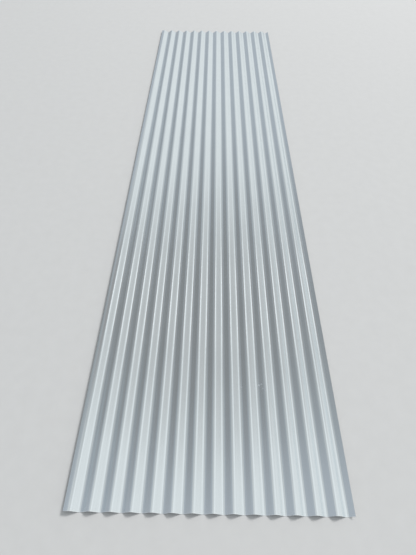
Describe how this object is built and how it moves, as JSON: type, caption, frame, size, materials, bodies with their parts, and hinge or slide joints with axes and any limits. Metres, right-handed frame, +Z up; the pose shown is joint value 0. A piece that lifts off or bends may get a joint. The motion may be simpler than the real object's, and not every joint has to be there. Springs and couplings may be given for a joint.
{
  "type": "corrugated metal sheet",
  "caption": "Long roofing or cladding sheet of thin coated steel with even rounded waves along its length and plain cut ends.",
  "frame": {"origin": "under the middle of the sheet, on the level that its valleys rest on", "axes": "+Y along the waves, +X across them from the edge with the flat, turned-down lip to the edge that turns up, +Z up"},
  "size_m": [1.0782, 4.4, 0.0185],
  "materials": {
    "coated_steel": "satin"
  },
  "bodies": {
    "root": {"corrugated_sheet": "coated_steel"}
  },
  "joints": []
}
